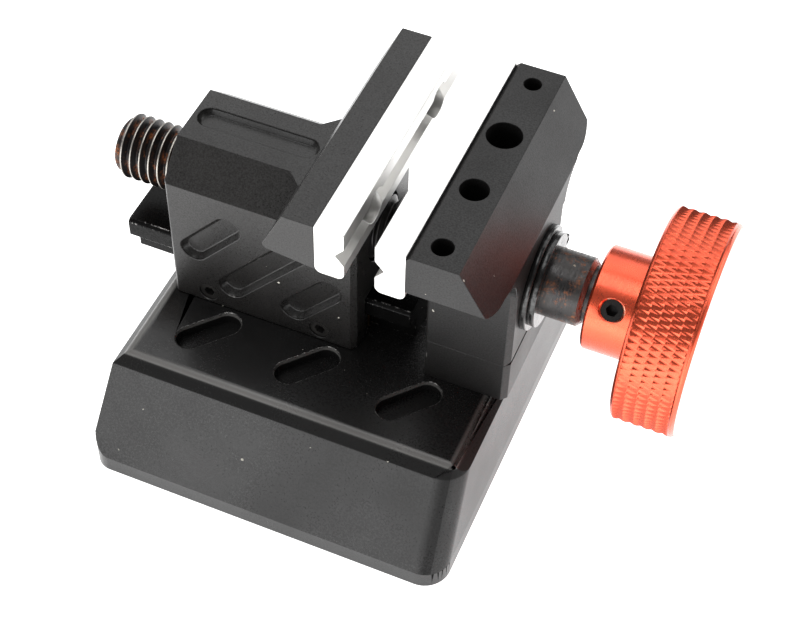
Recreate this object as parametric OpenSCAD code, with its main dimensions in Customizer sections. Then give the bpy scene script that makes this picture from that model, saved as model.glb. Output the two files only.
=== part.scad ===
// Bench vice for holding a watch movement: a heavy base, a T-shaped guide rail,
// one fixed jaw and one jaw that a knurled knob and lead screw drive along the rail.
// Millimetres. Origin: centre of the underside. +X: towards the knob. +Z: up.

/* [Base] */
// Length of the underside, along the screw
base_len = 56.5; // [50:0.5:75]
// Width of the underside, across the screw
base_wid = 66; // [58:0.5:80]
// Height of the base
base_h = 17.2; // [15:0.1:25]
// Upright band round the bottom edge
band_h = 2.9; // [1:0.1:4]
// Lean of the near and far sides from band to top chamfer
side_lean = 8.2; // [4:0.1:9]
// Lean of the two end sides from band to top chamfer
end_lean = 0.8; // [0.3:0.1:2]
// Chamfer round the top face
base_chamfer = 2; // [1:0.1:2.5]
// Radius of the leaning corners at the knob end
corner_r = 4; // [2:0.1:6]
// Radius of the upright corners at the other end
end_corner_r = 3; // [1:0.1:6]
// Depth of the slanted pockets in the top face
base_pocket_deep = 2.2; // [1:0.1:4]
// Distance between neighbouring pockets
base_pocket_step = 16.05; // [14:0.05:18]

/* [Slanted pockets] */
// Width of every slanted pocket
pocket_wid = 4.2; // [3:0.1:5]
// Slant of the pockets
pocket_slant = 49; // [40:1:55]
// Depth of the pockets in the sides of the moving jaw
side_pocket_deep = 1.2; // [0.5:0.1:1.6]

/* [Rail] */
// Height of the rail above the base
rail_h = 7.8; // [7:0.1:10]
// Width of the flange
flange_wid = 12.6; // [11:0.1:14]
// Thickness of the flange
flange_t = 3.2; // [2:0.1:4]
// Width of the web under the flange
web_wid = 7.7; // [6.5:0.1:8.5]
// How far the rail stands out past the base
rail_out = 5.7; // [0:0.1:8]
// Gap between the end of the rail and the riser
rail_gap = 3.7; // [1:0.1:5]
// Sliding clearance between the rail and the moving jaw
rail_fit = 0.1; // [0.05:0.01:0.2]

/* [Jaws] */
// Length of the jaw bars, across the screw
bar_len = 40; // [36:0.5:50]
// Height of the jaw tops above the screw axis
jaw_rise = 19; // [17:0.1:24]
// Gap between the jaw plates as built
jaw_gap = 4.3; // [1:0.1:8]
// Middle of the jaw gap along X
gap_mid = 9.9; // [9:0.1:11]
// Thickness of the fixed jaw body, along X
fixed_t = 12.7; // [12:0.1:16]
// Width of the fixed jaw body and the riser
fixed_wid = 19.5; // [18:0.1:24]
// Length of the moving jaw block, along X
block_len = 29.4; // [26:0.1:34]
// Width of the moving jaw block
block_wid = 20.1; // [19:0.1:24]
// Height of the top of the moving jaw block above the screw axis
block_rise = 10.9; // [10:0.1:11.6]
// Bevel along both top edges of the moving jaw block
block_bevel = 5; // [3:0.1:5.5]
// Width of the top of the moving bar
moving_bar_t = 4.5; // [4:0.1:6]
// Width of the top of the fixed bar
fixed_bar_t = 7.2; // [7:0.1:9]
// Step between the moving jaw body and the seat of its plate
moving_step = 1.4; // [0.5:0.1:2]
// Step between the fixed jaw body and the seat of its plate
fixed_step = 0.7; // [0.3:0.1:1.5]

/* [Jaw plates] */
// Thickness of the plates
plate_t = 4.25; // [3.8:0.05:5]
// Height of the plates
plate_h = 8.5; // [8:0.1:10]
// How far the plates reach past the far end of the bars
plate_out = 3; // [0:0.1:4]
// Depth of the V groove
vee_deep = 1.3; // [0.8:0.1:1.6]
// Half of the opening of the V groove
vee_half = 1.55; // [1:0.05:2]
// Distance between the two plate screws
plate_screw_step = 22; // [18:0.5:26]

/* [Screw and knob] */
// Height of the screw axis above the rail
axis_rise = 9.4; // [9:0.1:11]
// Diameter of the lead screw
screw_d = 10; // [9:0.1:10.5]
// Running clearance of the screw, on the radius
screw_fit = 0.05; // [0.02:0.01:0.08]
// How far the screw stands out past the moving jaw block as built
screw_out = 11.8; // [10:0.1:16]
// Diameter of the knob disc
knob_d = 30.5; // [26:0.5:36]
// Width of the knob disc
knob_w = 9; // [6:0.1:11]
// Diameter of the knob hub
hub_d = 15; // [14:0.1:17]
// Length of the knob hub
hub_len = 7; // [6.5:0.1:10]

/* [Holes for pins] */
// Small pin hole
pin_a_d = 3; // [2:0.1:3.5]
// Middle pin hole
pin_b_d = 4; // [3:0.1:4.5]
// Large pin hole
pin_c_d = 5; // [4:0.1:5.5]
// Distance between neighbouring holes along the bar
pin_step = 11; // [10:0.1:12]
// Depth of the two middle pin holes
pin_deep = 10; // [6:0.5:11]
// Depth of the two outer holes
end_hole_deep = 5.5; // [4:0.1:6]

/* [Hidden] */
$fn = 64;

far_cut = 200;
eps = 0.01;
black = "#1d1d1f";
steel = "#5a5856";

// Heights
seam_z = base_h + rail_h;
flange_z = seam_z - flange_t;
axis_h = seam_z + axis_rise;
jaw_top = axis_h + jaw_rise;
block_top = axis_h + block_rise;
plate_z = jaw_top - plate_h;
vee_z = plate_z + plate_h / 2;
block_z = base_h + 2 * rail_fit;

// Places along X
moving_face = gap_mid - jaw_gap / 2;
fixed_face = gap_mid + jaw_gap / 2;
moving_seat = moving_face - plate_t;
fixed_seat = fixed_face + plate_t;
block_x1 = moving_seat + moving_step;
block_x0 = block_x1 - block_len;
fixed_x0 = fixed_seat - fixed_step;
fixed_x1 = fixed_x0 + fixed_t;
rail_x0 = -base_len / 2 - rail_out;
rail_x1 = fixed_x0 - rail_gap;
rail_len = rail_x1 - rail_x0;
bar_half = bar_len / 2;

// Screw parts
washer_t = 0.9;
washer_r = screw_d / 2 + 2.7;
ring_t = 1;
ring_r = screw_d / 2 + 1.9;
groove_deep = 0.3;
lug_r = 0.95;
lug_out = ring_r + 0.9;
lug_hole_r = 0.45;
lug_spread = 13;
screw_x0 = block_x0 - screw_out;
ring_x = fixed_x1 + washer_t;
inner_ring_x = fixed_x0 - washer_t - ring_t;
shank_end = ring_x + ring_t + 5.3;
hub_x = shank_end + 1.5;
disc_x = hub_x + hub_len;
knob_end = disc_x + knob_w;
spigot_r = 4;
spigot_in = hub_len + knob_w - 2;
bush_r = screw_d / 2 + 1;

// Fasteners
m2_r = 1;
m2_head_r = 2.3;
m2_head_h = 1.2;
m3_r = 1.5;
m4_r = 2;
m4_head_r = 3.5;
m4_head_h = 4;
hole_fit = 0.02;
head_fit = 0.1;
grub_angle = 141;

module at_axis(x) {
    translate([x, 0, axis_h]) rotate([0, 90, 0]) children();
}

// Extrudes a profile drawn in X and Z along Y
module along_y(y0, y1) {
    translate([0, y1, 0]) rotate([90, 0, 0]) linear_extrude(y1 - y0) children();
}

// Extrudes a profile drawn in Y and Z along X
module along_x(x0, x1) {
    translate([x0, 0, 0]) rotate([90, 0, 90]) linear_extrude(x1 - x0) children();
}

// Slot with round ends, its middle at the origin
module slot_2d(centres, wid) {
    square([centres, wid], center = true);
    for (s = [-1, 1]) translate([s * centres / 2, 0]) circle(wid / 2);
}

module round_rect_2d(len, wid, r) {
    square([len - 2 * r, wid], center = true);
    square([len, wid - 2 * r], center = true);
    for (sx = [-1, 1], sy = [-1, 1])
        translate([sx * (len / 2 - r), sy * (wid / 2 - r)]) circle(r, $fn = 32);
}

// Socket head screw: its seat at the origin, its shank along -Z, its head along +Z
module cap_screw(r, len, head_r, head_h, socket_r) {
    difference() {
        union() {
            translate([0, 0, -len]) cylinder(r = r, h = len + eps);
            cylinder(r = head_r, h = head_h);
        }
        translate([0, 0, head_h * 0.45]) cylinder(r = socket_r, h = head_h, $fn = 6);
    }
}

// Set screw: its open end at the origin, its length along -Z
module set_screw(r, len, socket_r) {
    difference() {
        translate([0, 0, -len]) cylinder(r = r, h = len);
        translate([0, 0, -len * 0.45]) cylinder(r = socket_r, h = len, $fn = 6);
    }
}

// ---- Base ----
lean_h = base_h - base_chamfer - band_h;
top_share = (base_h - band_h) / lean_h;
rail_screw_x = [for (s = [-1, 0, 1]) (rail_x1 - base_len / 2) / 2 + s * base_len * 0.25];
cb_rail = 6;
cb_jaw = 10;
jaw_bolt_y = 6.5;
jaw_bolt_x = fixed_x0 + fixed_t / 2;
jaw_bolt_in = axis_rise - bush_r + 1.6;
dowel_r = 1.5;
dowel_dx = 3.8;
dowel_base = 4;
dowel_jaw = axis_rise - bush_r - 1;
base_pocket_y = base_wid / 2 - side_lean - 9.7;
base_pocket_centres = 5.9;

// Outline of the base, with its two corners at the knob end rounded
module base_outline_2d(len, wid) {
    translate([-len / 2, -wid / 2]) square([len - corner_r, wid]);
    translate([-len / 2, -wid / 2 + corner_r]) square([len, wid - 2 * corner_r]);
    for (sy = [-1, 1])
        translate([len / 2 - corner_r, sy * (wid / 2 - corner_r)]) circle(corner_r, $fn = 32);
}

module base_shell() {
    // The leaning sides run on past the top face, and the chamfers trim them
    intersection() {
        union() {
            linear_extrude(band_h) base_outline_2d(base_len, base_wid);
            hull() {
                translate([0, 0, band_h - eps]) linear_extrude(eps) base_outline_2d(base_len, base_wid);
                translate([0, 0, base_h - eps])
                    linear_extrude(eps)
                        base_outline_2d(base_len - 2 * end_lean * top_share,
                                        base_wid - 2 * side_lean * top_share);
            }
        }
        linear_extrude(base_h) union() {
            round_rect_2d(base_len, base_wid, end_corner_r);
            translate([0, -base_wid / 2]) square([base_len / 2, base_wid]);
        }
    }
}

module chamfer_trim_2d(half) {
    side_z = base_h - base_chamfer;
    polygon([[-half - side_z, 0], [half + side_z, 0], [half - base_chamfer, base_h],
             [-half + base_chamfer, base_h]]);
}

module base_pockets() {
    for (k = [-1, 0, 1], side = [-1, 1])
        translate([k * base_pocket_step - 0.5, side * base_pocket_y, base_h - base_pocket_deep])
            rotate(-side * pocket_slant)
                linear_extrude(base_pocket_deep + 1) slot_2d(base_pocket_centres, pocket_wid);
}

module base_block() color(black) {
    difference() {
        intersection() {
            base_shell();
            along_x(-far_cut, far_cut) chamfer_trim_2d(base_wid / 2 - side_lean);
            along_y(-far_cut, far_cut) chamfer_trim_2d(base_len / 2 - end_lean);
        }
        base_pockets();
        for (x = rail_screw_x) translate([x, 0, -1]) {
            cylinder(r = m4_head_r + head_fit, h = cb_rail + 1);
            cylinder(r = m4_r + head_fit, h = base_h + 2);
        }
        for (s = [-1, 1]) translate([jaw_bolt_x, s * jaw_bolt_y, -1]) {
            cylinder(r = m4_head_r + head_fit, h = cb_jaw + 1);
            cylinder(r = m4_r + head_fit, h = base_h + 2);
        }
        for (s = [-1, 1]) translate([jaw_bolt_x + s * dowel_dx, 0, base_h - dowel_base])
            cylinder(r = dowel_r, h = dowel_base + 1);
    }
}

// ---- Rail ----
rail_edge = 0.5;
rail_screw_in = rail_h - 3;

module rail_2d() {
    half = flange_wid / 2;
    web = web_wid / 2;
    polygon([[-web, base_h], [web, base_h], [web, flange_z], [half, flange_z],
             [half, seam_z - rail_edge], [half - rail_edge, seam_z],
             [-half + rail_edge, seam_z], [-half, seam_z - rail_edge],
             [-half, flange_z], [-web, flange_z]]);
}

module guide_rail() color(black) {
    difference() {
        along_x(rail_x0, rail_x1) rail_2d();
        for (x = rail_screw_x) translate([x, 0, base_h - 1])
            cylinder(r = m4_r + hole_fit, h = rail_screw_in + 1.5);
    }
}

module rail_screws() color(steel) {
    for (x = rail_screw_x) translate([x, 0, cb_rail]) rotate([180, 0, 0])
        cap_screw(m4_r, base_h - cb_rail + rail_screw_in, m4_head_r, m4_head_h, 1.7);
}

// ---- Riser and fixed jaw ----
post_chamfer = 0.8;
seam_chamfer = 0.5;
nose_drop = jaw_rise * 0.44;
bar_under = jaw_top - 8.2;
wing_rise = 1.4;
wing_run = 4.5;
under_fillet = 5;
pin_x = fixed_seat + fixed_bar_t / 2;
counterbore_r = 2.6;
plate_screw_floor = vee_deep + m2_head_h + 0.15;
plate_screw_len = 6;
plate_screw_mid = 1.5;

// Plan of a post whose four upright edges are chamfered
module post_2d(x0, x1, wid, near_x0, near_x1) {
    h = wid / 2;
    polygon([[x0 + near_x0, -h], [x1 - near_x1, -h], [x1, -h + near_x1], [x1, h - near_x1],
             [x1 - near_x1, h], [x0 + near_x0, h], [x0, h - near_x0], [x0, -h + near_x0]]);
}

module riser_block() color(black) {
    difference() {
        translate([0, 0, base_h]) linear_extrude(rail_h)
            post_2d(fixed_x0, fixed_x1, fixed_wid, 0.3, post_chamfer);
        for (s = [-1, 1]) translate([jaw_bolt_x, s * jaw_bolt_y, base_h - 1])
            cylinder(r = m4_r + head_fit, h = rail_h + 2);
        for (s = [-1, 1]) translate([jaw_bolt_x + s * dowel_dx, 0, base_h - 1])
            cylinder(r = dowel_r, h = rail_h + 2);
    }
}

module locating_dowels() color(steel) {
    for (s = [-1, 1]) translate([jaw_bolt_x + s * dowel_dx, 0, base_h - dowel_base])
        cylinder(r = dowel_r, h = dowel_base + rail_h + dowel_jaw);
}

module jaw_bolts() color(steel) {
    for (s = [-1, 1]) translate([jaw_bolt_x, s * jaw_bolt_y, cb_jaw]) rotate([180, 0, 0])
        cap_screw(m4_r, seam_z + jaw_bolt_in - cb_jaw, m4_head_r, m4_head_h, 1.7);
}

// Cross-section of a jaw: a body, a bar over it, round fillets under the bar
module tee_2d(body_wid, z0, under, rise) {
    half = body_wid / 2;
    translate([-half, z0]) square([body_wid, jaw_top - z0]);
    difference() {
        translate([-bar_half, under]) square([bar_len, jaw_top - under]);
        if (rise > 0) for (s = [-1, 1]) difference() {
            r = (wing_run * wing_run + rise * rise) / (2 * rise);
            translate([s > 0 ? bar_half - wing_run : -bar_half - 1, under - 1])
                square([wing_run + 1, rise + 1]);
            translate([s * (bar_half - wing_run), under + r]) circle(r, $fn = 128);
        }
    }
    for (s = [-1, 1]) difference() {
        translate([s > 0 ? half - eps : -half - under_fillet, under - under_fillet])
            square([under_fillet + eps, under_fillet + eps]);
        translate([s * (half + under_fillet), under - under_fillet]) circle(under_fillet);
    }
}

module fixed_side_2d() {
    edge = 0.6;
    polygon([[fixed_x0 + seam_chamfer, seam_z], [fixed_x1 - seam_chamfer, seam_z],
             [fixed_x1, seam_z + seam_chamfer], [fixed_x1, jaw_top - nose_drop],
             [fixed_seat + fixed_bar_t, jaw_top], [fixed_seat + edge, jaw_top],
             [fixed_seat, jaw_top - edge], [fixed_seat, plate_z],
             [fixed_x0, plate_z], [fixed_x0, seam_z + seam_chamfer]]);
}

module pin_hole(k, d, deep) {
    translate([pin_x, k * pin_step, jaw_top - deep]) cylinder(d = d, h = deep + 1);
}

module fixed_jaw() color(black) {
    difference() {
        intersection() {
            along_y(-bar_half, bar_half) fixed_side_2d();
            along_x(-far_cut, far_cut) tee_2d(fixed_wid, 0, bar_under, wing_rise);
            union() {
                translate([0, 0, seam_z]) linear_extrude(bar_under - under_fillet - seam_z)
                    post_2d(fixed_x0, fixed_x1, fixed_wid, 0.3, post_chamfer);
                translate([0, -far_cut, bar_under - under_fillet - eps])
                    cube([far_cut, 2 * far_cut, far_cut]);
            }
        }
        at_axis(0) cylinder(r = bush_r, h = far_cut);
        pin_hole(-1.5, pin_a_d, end_hole_deep);
        pin_hole(-0.5, pin_b_d, pin_deep);
        pin_hole(0.5, pin_c_d, pin_deep);
        pin_hole(1.5, 2.5, end_hole_deep);
        for (s = [-1, 1]) translate([jaw_bolt_x, s * jaw_bolt_y, seam_z - 1])
            cylinder(r = m4_r + hole_fit, h = jaw_bolt_in + 1.5);
        for (s = [-1, 1]) translate([jaw_bolt_x + s * dowel_dx, 0, seam_z - 1])
            cylinder(r = dowel_r, h = dowel_jaw + 1);
        plate_screw_spots() translate([fixed_seat - 1, 0, vee_z]) rotate([0, 90, 0])
            cylinder(r = m2_r + hole_fit, h = plate_screw_len + 1);
    }
}

module screw_bush() color("#8a6a3a") {
    difference() {
        at_axis(fixed_x0) cylinder(r = bush_r, h = fixed_t);
        at_axis(0) cylinder(r = screw_d / 2 + screw_fit, h = far_cut);
    }
}

// ---- Jaw plates, drawn for the fixed side and mirrored for the moving side ----
plate_corner = 1;

module plate_screw_spots() {
    for (s = [-1, 1]) translate([0, plate_screw_mid + s * plate_screw_step / 2, 0]) children();
}

module plate_2d() {
    difference() {
        union() {
            translate([0, plate_corner]) square([plate_t, plate_h - plate_corner]);
            translate([plate_corner, 0]) square([plate_t - 2 * plate_corner, plate_h]);
            for (x = [plate_corner, plate_t - plate_corner])
                translate([x, plate_corner]) circle(plate_corner);
        }
        polygon([[-1, plate_h / 2 - vee_half - vee_half / vee_deep],
                 [vee_deep, plate_h / 2],
                 [-1, plate_h / 2 + vee_half + vee_half / vee_deep]]);
    }
}

module jaw_plate() {
    difference() {
        translate([0, 0, plate_z]) along_y(-bar_half, bar_half + plate_out) plate_2d();
        plate_screw_spots() translate([0, 0, vee_z]) rotate([0, 90, 0]) {
            translate([0, 0, -1]) cylinder(r = counterbore_r, h = plate_screw_floor + 1);
            cylinder(r = m2_r + head_fit, h = plate_t + 1);
        }
    }
}

module plate_screws() {
    plate_screw_spots() translate([plate_screw_floor, 0, vee_z]) rotate([0, -90, 0])
        cap_screw(m2_r, plate_t - plate_screw_floor + plate_screw_len - 0.5,
                  m2_head_r, m2_head_h, 0.85);
}

module fixed_jaw_plate() color("#e8e6e0") translate([fixed_face, 0, 0]) jaw_plate();

module fixed_plate_screws() color(steel) translate([fixed_face, 0, 0]) plate_screws();

module moving_jaw_plate() color("#e8e6e0")
    translate([moving_face, 0, 0]) mirror([1, 0, 0]) jaw_plate();

module moving_plate_screws() color(steel)
    translate([moving_face, 0, 0]) mirror([1, 0, 0]) plate_screws();

// ---- Moving jaw ----
bar_outer_run = 3;
bar_under_m = block_top + 0.8;
under_drop = 0.85;
nose_r = 0.8;
nose_x = moving_seat - moving_bar_t - bar_outer_run + nose_r;
bevel_end = moving_seat - moving_bar_t - 6.1;
gib_t = 1.5;
gib_side = web_wid / 2 + rail_fit + gib_t;
gib_z = base_h + 2.15;
gib_screw_x = [block_x0 + 5.6, block_x1 - 5.8];
nut_r = screw_d / 2 + 2;
nut_len = 16;
top_pocket_deep = 1;
top_pocket_wid = 3.8;
top_pocket_x0 = block_x0 + 0.8;
top_pocket_x1 = bevel_end + 2;

// Outline of the moving bar in X and Z, its nose round
module moving_bar_2d() {
    top_x = moving_seat - moving_bar_t;
    nose_z = bar_under_m + nose_r;
    reach = norm([top_x - nose_x, jaw_top - nose_z]);
    lean = atan2(top_x - nose_x, jaw_top - nose_z) + asin(nose_r / reach);
    polygon([[moving_seat, bar_under_m - under_drop], [nose_x, bar_under_m], [nose_x, nose_z],
             [nose_x - nose_r * cos(lean), nose_z + nose_r * sin(lean)],
             [top_x, jaw_top], [moving_seat, jaw_top]]);
    translate([nose_x, nose_z]) circle(nose_r);
}

module block_side_2d() {
    polygon([[block_x0, block_z], [block_x1, block_z], [block_x1, plate_z],
             [moving_seat, plate_z], [moving_seat, bar_under_m + 1],
             [nose_x, bar_under_m + 1], [nose_x - nose_r, block_top], [block_x0, block_top]]);
}

module block_bevels() {
    // Each bevel ends in a sloping face that turns out towards the bar
    reach = block_wid / 2;
    for (s = [-1, 1]) intersection() {
        translate([0, s * reach, block_top - block_bevel])
            rotate([-s * 45, 0, 0]) translate([-far_cut, -far_cut, 0])
                cube([2 * far_cut, 2 * far_cut, far_cut]);
        translate([bevel_end, s * (reach - block_bevel), block_top])
            rotate([0, 0, -s * 45]) rotate([0, -42, 0])
                translate([-far_cut, -far_cut, -far_cut / 2])
                    cube([far_cut, 2 * far_cut, far_cut]);
    }
}

module side_slot(x0, z0, x1) {
    // A slot that climbs from x0, z0 at the pocket slant until it reaches x1
    run = (x1 - x0) / cos(pocket_slant);
    translate([x0, z0]) rotate(pocket_slant) translate([run / 2, 0]) slot_2d(run, pocket_wid);
}

module side_pockets_2d() {
    side_slot(block_x0 + 3.8, base_h + 10.9, block_x0 + 9.5);
    side_slot(block_x0 + 9.6, base_h + 5.2, block_x0 + 20.3);
    side_slot(block_x1 - 9.7, base_h + 5, block_x1 - 4.2);
}

module moving_jaw() color(black) {
    difference() {
        union() {
            difference() {
                intersection() {
                    along_y(-block_wid / 2, block_wid / 2) block_side_2d();
                    linear_extrude(far_cut)
                        post_2d(block_x0, block_x1, block_wid, 0.4, post_chamfer);
                }
                block_bevels();
            }
            along_y(-bar_half, bar_half) moving_bar_2d();
            intersection() {
                along_y(-block_wid / 2 - under_fillet, block_wid / 2 + under_fillet)
                    translate([nose_x, bar_under_m - 4]) square([moving_seat - nose_x, 5]);
                along_x(-far_cut, far_cut) difference() {
                    tee_2d(block_wid, bar_under_m - 4, bar_under_m, 0);
                    translate([-far_cut, 0]) square([2 * far_cut, bar_under_m - 4]);
                }
            }
        }
        // Pockets
        translate([(top_pocket_x0 + top_pocket_x1) / 2, 0, block_top - top_pocket_deep])
            linear_extrude(top_pocket_deep + eps * 10)
                slot_2d(top_pocket_x1 - top_pocket_x0 - top_pocket_wid, top_pocket_wid);
        along_y(-block_wid / 2 - 1, -block_wid / 2 + side_pocket_deep) side_pockets_2d();
        along_y(block_wid / 2 - side_pocket_deep, block_wid / 2 + 1) side_pockets_2d();
        // Slideway
        translate([-far_cut, -flange_wid / 2 - rail_fit, flange_z - rail_fit])
            cube([2 * far_cut, flange_wid + 2 * rail_fit, flange_t + 2 * rail_fit]);
        translate([-far_cut, -gib_side, 0])
            cube([2 * far_cut, gib_side + web_wid / 2 + rail_fit, flange_z]);
        // Screw
        at_axis(-far_cut) cylinder(r = screw_d / 2 + 0.3, h = 2 * far_cut);
        at_axis(block_x0 - 1) cylinder(r = nut_r, h = nut_len + 1);
        for (x = gib_screw_x) translate([x, 0, gib_z]) rotate([90, 0, 0])
            cylinder(r = m3_r + hole_fit, h = far_cut);
        plate_screw_spots() translate([moving_seat + 1, 0, vee_z]) rotate([0, -90, 0])
            cylinder(r = m2_r + hole_fit, h = plate_screw_len + 1);
    }
}

gib_h = flange_z - base_h - 4 * rail_fit;

module gib_strip() color("#8a6a3a")
    translate([block_x0 + 0.2, -gib_side, base_h + 2 * rail_fit])
        cube([block_len - 0.4, gib_t, gib_h]);

module gib_screws() color(steel) {
    inset = 0.3;
    for (x = gib_screw_x) translate([x, -block_wid / 2 + inset, gib_z]) rotate([90, 0, 0])
        set_screw(m3_r, block_wid / 2 - inset - gib_side, 0.87);
}

module lead_nut() color("#8a6a3a") {
    difference() {
        at_axis(block_x0) cylinder(r = nut_r, h = nut_len);
        at_axis(-far_cut) cylinder(r = screw_d / 2 + screw_fit, h = 2 * far_cut);
    }
}

// ---- Screw ----
tip_chamfer = 0.9;
shank_chamfer = 0.6;

module lead_screw() color(steel) {
    r = screw_d / 2;
    end = hub_x + spigot_in;
    groove_in = inner_ring_x;
    at_axis(0) rotate_extrude() polygon([
        [0, screw_x0], [r - tip_chamfer, screw_x0], [r, screw_x0 + tip_chamfer],
        [r, groove_in], [r - groove_deep, groove_in], [r - groove_deep, groove_in + ring_t],
        [r, groove_in + ring_t], [r, ring_x], [r - groove_deep, ring_x],
        [r - groove_deep, ring_x + ring_t], [r, ring_x + ring_t],
        [r, shank_end - shank_chamfer], [r - shank_chamfer, shank_end],
        [spigot_r, shank_end], [spigot_r, end], [0, end]]);
}

module washer(x) {
    at_axis(x) difference() {
        cylinder(r = washer_r, h = washer_t);
        translate([0, 0, -1]) cylinder(r = screw_d / 2 + screw_fit, h = washer_t + 2);
    }
}

module thrust_washer() color(steel) washer(fixed_x1);

module inner_washer() color(steel) washer(fixed_x0 - washer_t);

// Open spring ring with two lugs, its gap towards +Y
module retaining_ring(x) {
    r = screw_d / 2 - groove_deep;
    at_axis(x) difference() {
        union() {
            cylinder(r = ring_r, h = ring_t);
            for (s = [-1, 1]) rotate(90 + s * lug_spread)
                translate([lug_out - lug_r, 0, 0]) cylinder(r = lug_r, h = ring_t);
        }
        translate([0, 0, -1]) cylinder(r = r, h = ring_t + 2);
        translate([-0.6, 0, -1]) cube([1.2, far_cut, ring_t + 2]);
        for (s = [-1, 1]) rotate(90 + s * lug_spread)
            translate([lug_out - lug_r, 0, -1]) cylinder(r = lug_hole_r, h = ring_t + 2);
    }
}

module outer_retaining_ring() color(steel) retaining_ring(ring_x);

module inner_retaining_ring() color(steel) retaining_ring(inner_ring_x);

// ---- Knob ----
knob_chamfer = 0.4;
hub_chamfer = 0.35;
grub_x = hub_x + hub_len * 0.49;
grub_sink = 1.8;

module at_grub() {
    translate([grub_x, 0, axis_h]) rotate([grub_angle - 90, 0, 0]) children();
}

module knob() color("#c8371f") {
    r = knob_d / 2;
    hub = hub_d / 2;
    difference() {
        at_axis(0) rotate_extrude() polygon([
            [spigot_r + hole_fit, hub_x], [hub - hub_chamfer, hub_x], [hub, hub_x + hub_chamfer],
            [hub, disc_x], [r - knob_chamfer, disc_x], [r, disc_x + knob_chamfer],
            [r, knob_end - knob_chamfer], [r - knob_chamfer, knob_end], [0, knob_end],
            [0, hub_x + spigot_in], [spigot_r + hole_fit, hub_x + spigot_in]]);
        at_grub() cylinder(r = m3_r + hole_fit, h = hub_d);
        at_grub() translate([0, 0, hub - 0.35]) cylinder(r1 = m3_r, r2 = m3_r + 0.7, h = 0.7);
    }
}

module knob_set_screw() color(steel)
    at_grub() translate([0, 0, hub_d / 2 - 0.3]) set_screw(m3_r, hub_d / 2 - 0.3 - spigot_r, 0.87);

base_block();
guide_rail();
rail_screws();
riser_block();
locating_dowels();
jaw_bolts();
fixed_jaw();
fixed_jaw_plate();
fixed_plate_screws();
screw_bush();
moving_jaw();
moving_jaw_plate();
moving_plate_screws();
gib_strip();
gib_screws();
lead_nut();
lead_screw();
thrust_washer();
outer_retaining_ring();
inner_washer();
inner_retaining_ring();
knob();
knob_set_screw();
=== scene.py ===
"""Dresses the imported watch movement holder: a vice with a base, a T-rail, two jaws and a lead screw."""
import logging
import math
from dataclasses import dataclass, field
from enum import Enum

import bmesh
import bpy
from mathutils import Matrix, Vector


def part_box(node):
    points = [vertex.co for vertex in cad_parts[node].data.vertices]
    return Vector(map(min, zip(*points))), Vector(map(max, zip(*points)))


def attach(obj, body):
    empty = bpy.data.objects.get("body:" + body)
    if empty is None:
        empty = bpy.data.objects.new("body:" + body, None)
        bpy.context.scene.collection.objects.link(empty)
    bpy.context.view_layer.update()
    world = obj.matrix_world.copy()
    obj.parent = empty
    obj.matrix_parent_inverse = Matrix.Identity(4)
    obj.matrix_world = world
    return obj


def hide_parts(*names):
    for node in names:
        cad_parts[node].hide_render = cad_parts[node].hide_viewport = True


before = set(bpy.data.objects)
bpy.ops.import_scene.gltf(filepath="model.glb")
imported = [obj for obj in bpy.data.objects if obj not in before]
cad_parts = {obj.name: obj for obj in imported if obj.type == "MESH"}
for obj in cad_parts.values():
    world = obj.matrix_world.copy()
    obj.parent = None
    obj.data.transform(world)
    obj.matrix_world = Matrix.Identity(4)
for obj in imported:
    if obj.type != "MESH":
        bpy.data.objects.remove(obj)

LOG = logging.getLogger("movement_holder")
MM = 0.001
HAIR = 0.0002 * MM
CLOSE = 0.01 * MM
MERGE = 0.002 * MM
NEAR = 0.02 * MM
FLAT_MERGE = math.radians(0.4)
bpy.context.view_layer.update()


class Body(str, Enum):
    """The rigid bodies of the vice."""

    BASE = "base"
    MOVING_JAW = "moving_jaw"
    SCREW = "screw"


class Slot(str, Enum):
    """The record's material slots."""

    BLACK = "black_body"
    BRIGHT = "bright_plate"
    STEEL = "dark_steel"
    BRONZE = "bronze"
    RED = "red_knob"


# ---- Shader helpers and shared effects ----


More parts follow.
